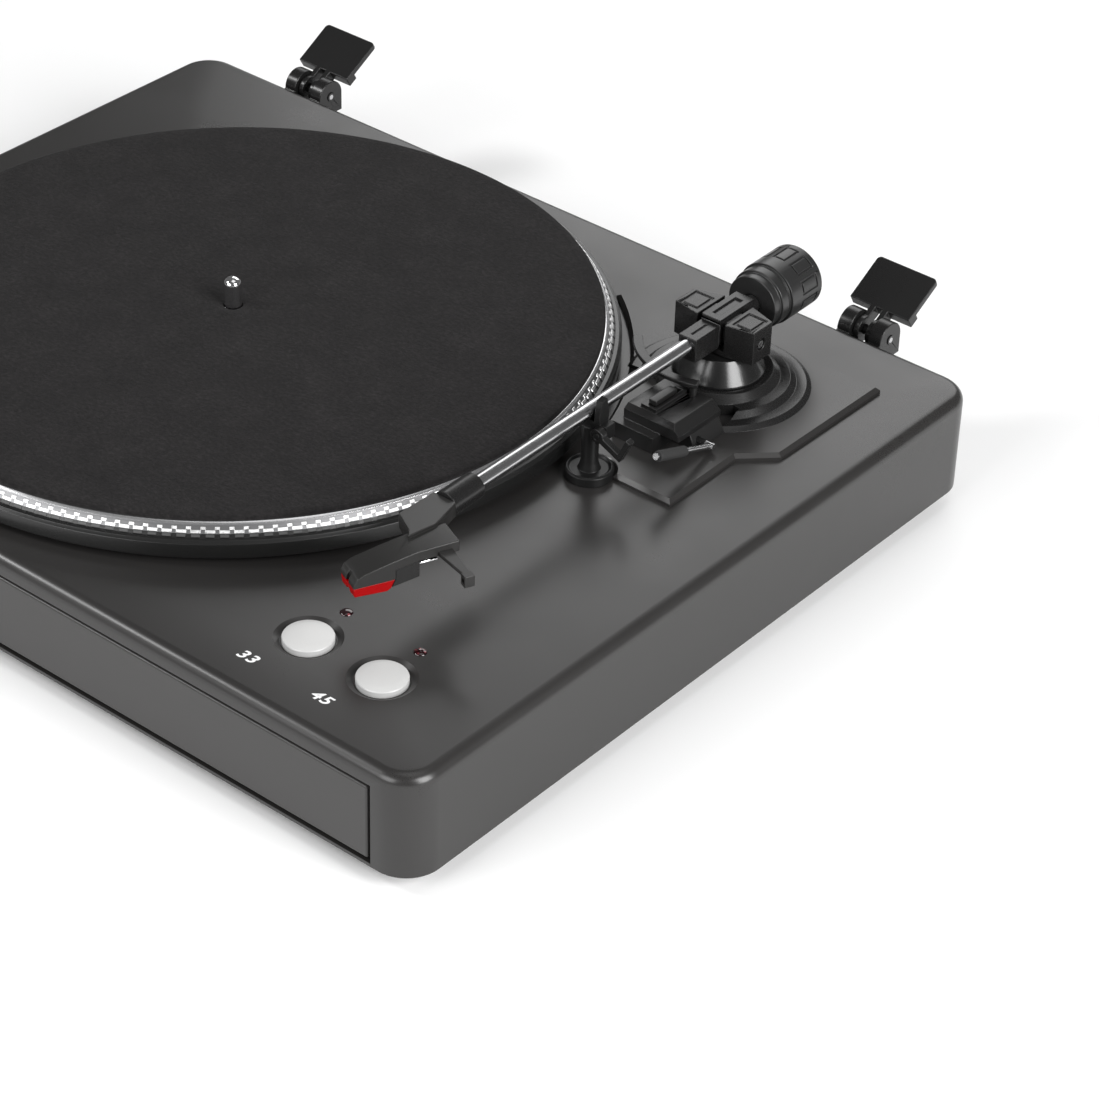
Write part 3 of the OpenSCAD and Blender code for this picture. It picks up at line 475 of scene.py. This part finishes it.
def makeCap(node, body):
    at = middle(node)
    low, high = (corner.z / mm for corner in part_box(node))
    edge = high - cap["dome"]
    sweep = math.radians(cap["sweep"])
    arch = [(cap["radius"] * math.sin(math.radians(a)) / math.sin(sweep),
             edge + cap["dome"] * (math.cos(math.radians(a)) - math.cos(sweep))
             / (1 - math.cos(sweep))) for a in range(0, 18, 2)]
    wide = cap["radius"] + cap["flange"]
    outline = ([(r, z) for r, z in reversed(arch)] + [(0, low), (cap["stem"], low),
               (cap["stem"], high - cap["tall"]),
               (wide, high - cap["tall"]), (wide, high - cap["under"]),
               (cap["radius"], high - cap["under"]), (cap["radius"], edge - 0.5),
               (cap["radius"] - 0.25, edge - 0.12)])
    bm = turned(outline, 96, (at.x, at.y, 0))
    settle(node + "_cap", bm, "buttonWhite", body, [node])


print("buttons and lamps")
makeCap("button_33", "start_33")
makeCap("button_45", "start_45")


# lamps: low domed lenses
lens = {"radius": 2.45, "dome": 0.9}


def makeLens(node):
    at = middle(node)
    low, high = (corner.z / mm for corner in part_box(node))
    dome = [(lens["radius"] * math.cos(math.radians(a)),
             high - lens["dome"] + lens["dome"] * math.sin(math.radians(a)))
            for a in range(0, 90, 12)]
    bm = turned([(0, low), (lens["radius"], low)] + dome + [(0, high)], 48, (at.x, at.y, 0))
    settle(node + "_lens", bm, "lampLens", "base", [node])


makeLens("led_33")
makeLens("led_45")


# printed speed numbers on the deck in front of the buttons
print("speed numbers")
figures = {"size": 6.4, "thick": 0.06, "shear": 0.25, "ahead": 24.6, "aside": 8.3,
           "stretch": 1.2, "swell": 0.13, "gap": 1.15}


def makeFigures(words, node):
    curve = bpy.data.curves.new("figures", "FONT")
    curve.body = words
    curve.size = figures["size"] * mm
    curve.shear = figures["shear"]
    curve.extrude = figures["thick"] * mm / 2
    curve.offset = figures["swell"] * mm
    curve.space_character = figures["gap"]
    curve.align_x = "CENTER"
    text = bpy.data.objects.new("figures", curve)
    bpy.context.scene.collection.objects.link(text)
    bpy.context.view_layer.update()
    mesh = bpy.data.meshes.new_from_object(text.evaluated_get(
        bpy.context.evaluated_depsgraph_get()))
    bpy.data.objects.remove(text)
    at = middle(node)
    bm = bmesh.new()
    bm.from_mesh(mesh)
    bmesh.ops.scale(bm, vec=(figures["stretch"], 1, 1), verts=bm.verts)
    bmesh.ops.translate(bm, vec=(at.x - figures["aside"] * mm, at.y - figures["ahead"] * mm,
                                 deckTop + 0.02 * mm), verts=bm.verts)
    settle("speed_" + words, bm, "markWhite", "base")


makeFigures("33", "button_33")
makeFigures("45", "button_45")

# the plinth, with the edge of its raised area cut back to a slope
ledge = {"slope": 1.5, "clear": 12.0}


def makePlinth():
    bm = bmesh.new()
    bm.from_mesh(nodes["plinth"].data)
    bmesh.ops.remove_doubles(bm, verts=bm.verts, dist=1e-6)
    pivot = Vector((pivotAt.x, pivotAt.y))
    edges = []
    for edge in bm.edges:
        level = all(abs(v.co.z - raisedTop) < 1e-5 for v in edge.verts)
        away = min((v.co.xy - pivot).length for v in edge.verts) > ledge["clear"] * mm
        if level and away and edge.calc_face_angle(0) > math.radians(60):
            edges.append(edge)
    bmesh.ops.bevel(bm, geom=edges, offset=ledge["slope"] * mm, offset_type="OFFSET", segments=1,
                    profile=0.5, affect="EDGES", material=-1, clamp_overlap=False)
    settle("plinth_shaped", bm, "deckBlack", "base", ["plinth"], 28)


print("plinth")
makePlinth()

# parts that keep their CAD shape, with their edges rounded: finish and edge width in millimetres
# the front strip, drawn in a little all round so that its seam reads as a dark line
strip = {"seam": 0.8, "edge": 0.7}


def makeStrip():
    piece = eased("front_panel", "panelBlack", strip["edge"], "base")
    low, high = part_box("front_panel")
    half = (high - low) / 2
    for vert in piece.data.vertices:
        for axis in (0, 2):
            offset = vert.co[axis] - (low[axis] + half[axis])
            if abs(offset) > half[axis] - strip["seam"] * mm:
                vert.co[axis] -= math.copysign(strip["seam"] * mm, offset)


print("front strip")
makeStrip()

print("eased parts")
easedParts = {
    "gimbal_yoke": ("armBlack", 0.3),
    "arm_carrier": ("armBlack", 0.35), "headshell_collar": ("armBlack", 0.3),
    "headshell": ("shellBlack", 0.35), "cartridge": ("armBlack", 0.25),
    "stylus_holder": ("stylusRed", 0.3), "finger_lift": ("shellBlack", 0.25),
    "force_dial": ("weightBlack", 0.4), "counterweight": ("weightBlack", 0.25),
    "lift_housing": ("armBlack", 0.35), "lift_bar": ("armBlack", 0.4),
    "cue_grip": ("rubberBlack", 0.3), "antiskate_slider": ("armBlack", 0.3),
    "arm_rest": ("restBlack", 0.3), "rest_clip": ("armBlack", 0.3),
    "tonearm_base": ("armBlack", 0.2), "pivot_cone": ("glossBlack", 0.25),
    "hinge_bracket_left": ("armBlack", 0.4), "hinge_bracket_right": ("armBlack", 0.4),
    "hinge_flap_left": ("armBlack", 0.4), "hinge_flap_right": ("armBlack", 0.4),
    "line_switch": ("armBlack", 0.2), "dc_socket": ("armBlack", 0.2),
}
# parts whose flat faces have holes, so that their triangles are not joined up
holedParts = {"gimbal_yoke", "arm_carrier", "counterweight", "lift_housing", "hinge_bracket_left",
              "hinge_bracket_right", "dc_socket"}
for node, (look, width) in easedParts.items():
    eased(node, look, width, bodyOf[node], joined=node not in holedParts)

# the four bright pins between the cartridge and the headshell
pins = {"radius": 0.68, "spacing": 2.4, "front": -15.2, "back": -7.8, "drop": 7.0}


def makePins():
    bm = bmesh.new()
    for step in range(4):
        across = (step - 1.5) * pins["spacing"] * mm
        length = (pins["back"] - pins["front"]) * mm
        made = bmesh.ops.create_cone(bm, cap_ends=True, segments=24, radius1=pins["radius"] * mm,
                                     radius2=pins["radius"] * mm, depth=length)["verts"]
        place = (shellFrame @ Matrix.Translation((across, (pins["front"] + pins["back"]) / 2 * mm,
                                                  shellTop - pins["drop"] * mm))
                 @ Matrix.Rotation(math.pi / 2, 4, "X"))
        bmesh.ops.transform(bm, matrix=place, verts=made)
    sharp = [e for e in bm.edges if e.calc_face_angle(0) > 1]
    bmesh.ops.bevel(bm, geom=sharp, offset=0.12 * mm, offset_type="OFFSET", segments=2,
                    profile=0.5, affect="EDGES", material=-1, clamp_overlap=True)
    settle("cartridge_pins", bm, "chrome", "arm")


print("cartridge pins")
makePins()

# CAD parts that stay as they are, with their finishes
print("carried parts")
carried = {
    "bottom_cover": "coverBlack", "case_screws": "steel",
    "foot_front_left": "rubberBlack", "foot_front_right": "rubberBlack",
    "foot_rear_left": "rubberBlack", "foot_rear_right": "rubberBlack",
    "bearing_housing": "castMetal", "bearing_bush": "brass", "drive_belt": "rubberBlack",
    "motor_pulley": "brass", "motor": "steel", "motor_plate": "steel",
    "motor_grommets": "rubberBlack", "control_board": "boardGreen",
    "push_switches": "armBlack", "jack_board": "boardGreen", "rca_left": "jackWhite",
    "rca_right": "jackRed", "ground_post": "steel", "swing_bush": "brass",
    "pivot_screw_left": "steel", "pivot_screw_right": "steel", "arm_tube": "tubeMetal",
    "cantilever": "steel", "cue_lever": "leverMetal", "hinge_pin_left": "pinLeft",
    "hinge_pin_right": "pinRight",
}
for node, look in carried.items():
    nodes[node].data.materials.clear()
    nodes[node].data.materials.append(finish[look])

# camera, floor and lights
print("stage")
view = {"lens": 111.577, "azimuth": 38.84, "elevation": 35.30, "roll": 1.818,
        "offset": (833.19, -827.91, 711.02)}


def makeCamera():
    camera = bpy.data.objects.new("camera", bpy.data.cameras.new("camera"))
    bpy.context.scene.collection.objects.link(camera)
    camera.data.lens = view["lens"]
    camera.data.sensor_width = 36
    camera.data.clip_start = 0.01
    turn = (Matrix.Rotation(math.radians(view["azimuth"]), 4, "Z")
            @ Matrix.Rotation(math.radians(90 - view["elevation"]), 4, "X")
            @ Matrix.Rotation(math.radians(view["roll"]), 4, "Z"))
    matCentre = Vector((spindleAt.x, spindleAt.y, matTop))
    camera.matrix_world = Matrix.Translation(matCentre + Vector(view["offset"]) * mm) @ turn
    bpy.context.scene.camera = camera


def makeFloor():
    bm = bmesh.new()
    bmesh.ops.create_grid(bm, x_segments=1, y_segments=1, size=6)
    mesh = bpy.data.meshes.new("floor")
    bm.to_mesh(mesh)
    bm.free()
    floor = bpy.data.objects.new("floor", mesh)
    bpy.context.scene.collection.objects.link(floor)
    paint = Recipe("floorPaint", Base_Color=(0.95, 0.95, 0.95), Roughness=0.9)
    mesh.materials.append(paint.material)


# each light: direction as azimuth and elevation from the middle, distance, size and power
lights = {
    "top": {"azimuth": 10, "elevation": 80, "away": 1.7, "size": (1.0, 1.0), "power": 3},
    "back": {"azimuth": 112, "elevation": 30, "away": 2.2, "size": (1.6, 1.1), "power": 13.5},
    "right": {"azimuth": -5, "elevation": 26, "away": 2.0, "size": (1.0, 1.2), "power": 47},
    "front": {"azimuth": -95, "elevation": 26, "away": 2.2, "size": (1.4, 1.0), "power": 25},
    "side": {"azimuth": -140, "elevation": 38, "away": 2.2, "size": (0.5, 0.35), "power": 17},
}


def makeLights():
    for name, light in lights.items():
        lamp = bpy.data.lights.new(name, "AREA")
        lamp.shape = "RECTANGLE"
        lamp.size, lamp.size_y = light["size"]
        lamp.energy = light["power"]
        holder = bpy.data.objects.new(name, lamp)
        bpy.context.scene.collection.objects.link(holder)
        around = math.radians(light["azimuth"])
        rise = math.radians(light["elevation"])
        away = Vector((math.cos(around) * math.cos(rise), math.sin(around) * math.cos(rise),
                       math.sin(rise)))
        holder.location = away * light["away"] + Vector((0, 0, matTop))
        holder.rotation_euler = away.to_track_quat("Z", "Y").to_euler()
    world = bpy.data.worlds.new("studio")
    world.use_nodes = True
    world.node_tree.nodes["Background"].inputs[0].default_value = (1, 1, 1, 1)
    world.node_tree.nodes["Background"].inputs[1].default_value = 0.14
    bpy.context.scene.world = world


makeCamera()
makeFloor()
makeLights()
bpy.context.scene.view_settings.view_transform = "Standard"
